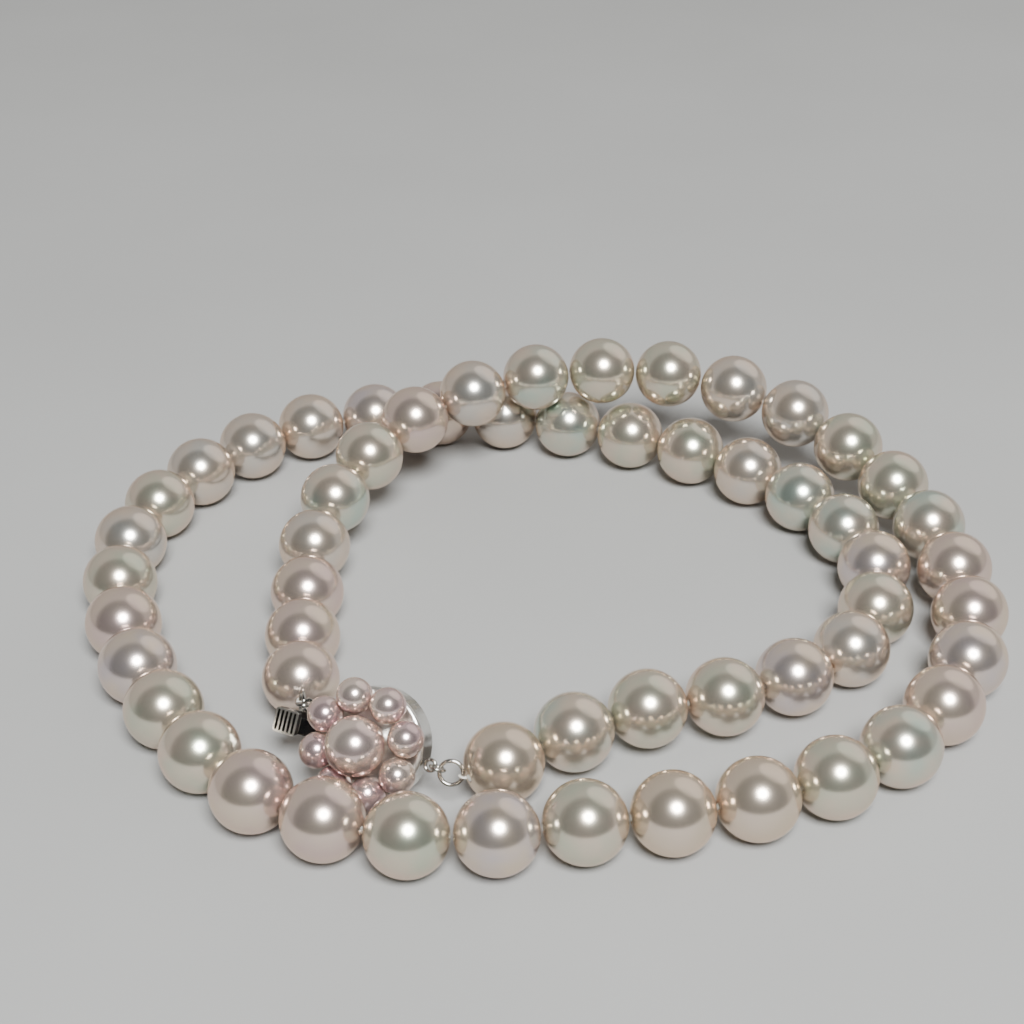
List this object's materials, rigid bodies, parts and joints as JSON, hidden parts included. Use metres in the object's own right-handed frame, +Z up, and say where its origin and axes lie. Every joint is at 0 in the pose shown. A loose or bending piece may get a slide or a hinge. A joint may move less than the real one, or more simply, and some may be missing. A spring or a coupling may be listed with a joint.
{
  "type": "pearl necklace",
  "caption": "Strand of round pearls lying in two turns, closed by a box clasp with a flower of small pearls and a ribbed thumb press.",
  "frame": {"origin": "middle of the floor area that the necklace covers, on the surface it lies on", "axes": "+Z up from the surface; +X along the longer side of the coil, -Y towards the side with the clasp"},
  "size_m": [0.0954, 0.084, 0.0148],
  "materials": {
    "pearl": "high-lustre nacre, cream with a rose or green overtone",
    "petal_pearl": "high-lustre nacre, mauve and rose",
    "silver": "polished silver",
    "silk": "twisted silk"
  },
  "bodies": {
    "clasp_box": {"clasp_band": "silver", "clasp_back": "silver", "clasp_lid": "silver", "petal_cups": "silver", "centre_cup": "silver", "petal_pegs": "silver", "centre_peg": "silver", "petal_pearls": "petal_pearl", "centre_pearl": "petal_pearl", "box_eye": "silver", "pearls_18": "pearl", "thread_18": "silk", "thread_loop_right": "silk"},
    "tongue": {"tongue_plate": "silver", "tongue_eye": "silver", "pearls_01": "pearl", "thread_01": "silk", "thread_loop_left": "silk"},
    "press": {"spring_leaf": "silver", "thumb_press": "silver"},
    "small_ring_at_tongue": {"small_ring_left": "silver"},
    "large_ring_at_tongue": {"large_ring_left": "silver"},
    "small_ring_at_box": {"small_ring_right": "silver"},
    "large_ring_at_box": {"large_ring_right": "silver"},
    "strand_02": {"pearls_02": "pearl", "thread_02": "silk"},
    "strand_03": {"pearls_03": "pearl", "thread_03": "silk"},
    "strand_04": {"pearls_04": "pearl", "thread_04": "silk"},
    "strand_05": {"pearls_05": "pearl", "thread_05": "silk"},
    "strand_06": {"pearls_06": "pearl", "thread_06": "silk"},
    "strand_07": {"pearls_07": "pearl", "thread_07": "silk"},
    "strand_08": {"pearls_08": "pearl", "thread_08": "silk"},
    "strand_09": {"pearls_09": "pearl", "thread_09": "silk"},
    "strand_10": {"pearls_10": "pearl", "thread_10": "silk"},
    "strand_11": {"pearls_11": "pearl", "thread_11": "silk"},
    "strand_12": {"pearls_12": "pearl", "thread_12": "silk"},
    "strand_13": {"pearls_13": "pearl", "thread_13": "silk"},
    "strand_14": {"pearls_14": "pearl", "thread_14": "silk"},
    "strand_15": {"pearls_15": "pearl", "thread_15": "silk"},
    "strand_16": {"pearls_16": "pearl", "thread_16": "silk"},
    "strand_17": {"pearls_17": "pearl", "thread_17": "silk"}
  },
  "joints": [
    {"name": "tongue_slide", "type": "slide", "parent": "clasp_box", "child": "tongue", "axis": [-0.898, 0.4389, 0.0298], "range_m": [0, 0.007]},
    {"name": "press_bend", "type": "hinge", "parent": "tongue", "child": "press", "pos_m": [-0.01239, -0.02781, 0.00434], "axis": [-0.2523, -0.4585, -0.8521], "range_deg": [0, 3], "stiffness_Nm_per_rad": 0.002},
    {"name": "bend_02", "type": "hinge", "parent": "tongue", "child": "strand_02", "pos_m": [-0.02367, -0.00383, 0.00403], "axis": [0, 0, 1], "range_deg": [-11.18, 0]},
    {"name": "bend_04", "type": "hinge", "parent": "strand_02", "child": "strand_03", "pos_m": [-0.02258, 0.01142, 0.00556], "axis": [0, 0, 1], "range_deg": [-4.02, 0]},
    {"name": "bend_06", "type": "hinge", "parent": "strand_03", "child": "strand_04", "pos_m": [-0.01566, 0.02479, 0.00819], "axis": [0, 0, 1], "range_deg": [0, 14.57]},
    {"name": "bend_54", "type": "hinge", "parent": "clasp_box", "child": "strand_17", "pos_m": [0.00664, -0.02287, 0.00421], "axis": [0, 0, 1], "range_deg": [-4.19, 0.02]},
    {"name": "bend_51", "type": "hinge", "parent": "strand_17", "child": "strand_16", "pos_m": [0.02789, -0.01412, 0.0039], "axis": [0, 0, 1], "range_deg": [0, 10]},
    {"name": "bend_48", "type": "hinge", "parent": "strand_16", "child": "strand_15", "pos_m": [0.03473, 0.00649, 0.00384], "axis": [0, 0, 1], "range_deg": [-10.43, 0.02]},
    {"name": "bend_45", "type": "hinge", "parent": "strand_15", "child": "strand_14", "pos_m": [0.02168, 0.02534, 0.00386], "axis": [0, 0, 1], "range_deg": [-0.02, 4.6]},
    {"name": "bend_42", "type": "hinge", "parent": "strand_14", "child": "strand_13", "pos_m": [0.00088, 0.03587, 0.00387], "axis": [0, 0, 1], "range_deg": [-3.25, 0.02]},
    {"name": "bend_38", "type": "hinge", "parent": "strand_13", "child": "strand_12", "pos_m": [-0.02929, 0.03338, 0.00388], "axis": [0, 0, 1], "range_deg": [0, 8]},
    {"name": "bend_34", "type": "hinge", "parent": "strand_12", "child": "strand_11", "pos_m": [-0.04374, 0.00697, 0.00389], "axis": [0, 0, 1], "range_deg": [-8.95, 0.02]},
    {"name": "bend_30", "type": "hinge", "parent": "strand_11", "child": "strand_10", "pos_m": [-0.03388, -0.02255, 0.0039], "axis": [0, 0, 1], "range_deg": [-0.02, 4.18]},
    {"name": "bend_27", "type": "hinge", "parent": "strand_10", "child": "strand_09", "pos_m": [-0.01587, -0.03696, 0.0039], "axis": [0, 0, 1], "range_deg": [-0.02, 5.38]},
    {"name": "bend_24", "type": "hinge", "parent": "strand_09", "child": "strand_08", "pos_m": [0.00751, -0.03647, 0.0039], "axis": [0, 0, 1], "range_deg": [-6.03, 0.02]},
    {"name": "bend_21", "type": "hinge", "parent": "strand_08", "child": "strand_07", "pos_m": [0.02987, -0.02946, 0.00389], "axis": [0, 0, 1], "range_deg": [-5.68, 0.02]},
    {"name": "bend_18", "type": "hinge", "parent": "strand_07", "child": "strand_06", "pos_m": [0.04289, -0.01059, 0.00414], "axis": [0, 0, 1], "range_deg": [0, 10]},
    {"name": "bend_14", "type": "hinge", "parent": "strand_06", "child": "strand_05", "pos_m": [0.03797, 0.01953, 0.0062], "axis": [0, 0, 1], "range_deg": [-3.71, 0.02]},
    {"name": "small_ring_left_turn", "type": "hinge", "parent": "tongue", "child": "small_ring_at_tongue", "pos_m": [-0.02224, -0.02166, 0.00591], "axis": [0.0913, 0.5282, 0.8442], "continuous": true},
    {"name": "large_ring_left_turn", "type": "hinge", "parent": "tongue", "child": "large_ring_at_tongue", "pos_m": [-0.02255, -0.02055, 0.00526], "axis": [0.9691, 0.1479, -0.1973], "continuous": true},
    {"name": "small_ring_right_turn", "type": "hinge", "parent": "clasp_box", "child": "small_ring_at_box", "pos_m": [-0.00956, -0.02966, 0.00443], "axis": [-0.328, -0.4194, -0.8465], "continuous": true},
    {"name": "large_ring_right_turn", "type": "hinge", "parent": "clasp_box", "child": "large_ring_at_box", "pos_m": [-0.00832, -0.02997, 0.0041], "axis": [0.0915, 0.8777, -0.4703], "continuous": true}
  ],
  "couplings": [
    {"joint": "bend_54", "follows": "bend_51", "ratio": -0.41718},
    {"joint": "bend_48", "follows": "bend_51", "ratio": -1.0412},
    {"joint": "bend_45", "follows": "bend_51", "ratio": 0.45837},
    {"joint": "bend_42", "follows": "bend_38", "ratio": -0.40386},
    {"joint": "bend_34", "follows": "bend_38", "ratio": -1.1172},
    {"joint": "bend_30", "follows": "bend_38", "ratio": 0.52106},
    {"joint": "bend_27", "follows": "bend_18", "ratio": 0.53545},
    {"joint": "bend_24", "follows": "bend_18", "ratio": -0.60051},
    {"joint": "bend_21", "follows": "bend_18", "ratio": -0.5664},
    {"joint": "bend_14", "follows": "bend_18", "ratio": -0.36854},
    {"joint": "bend_02", "follows": "tongue_slide", "rad_per_m": -27.82},
    {"joint": "bend_04", "follows": "tongue_slide", "rad_per_m": -9.9733},
    {"joint": "bend_06", "follows": "tongue_slide", "rad_per_m": 36.285}
  ]
}
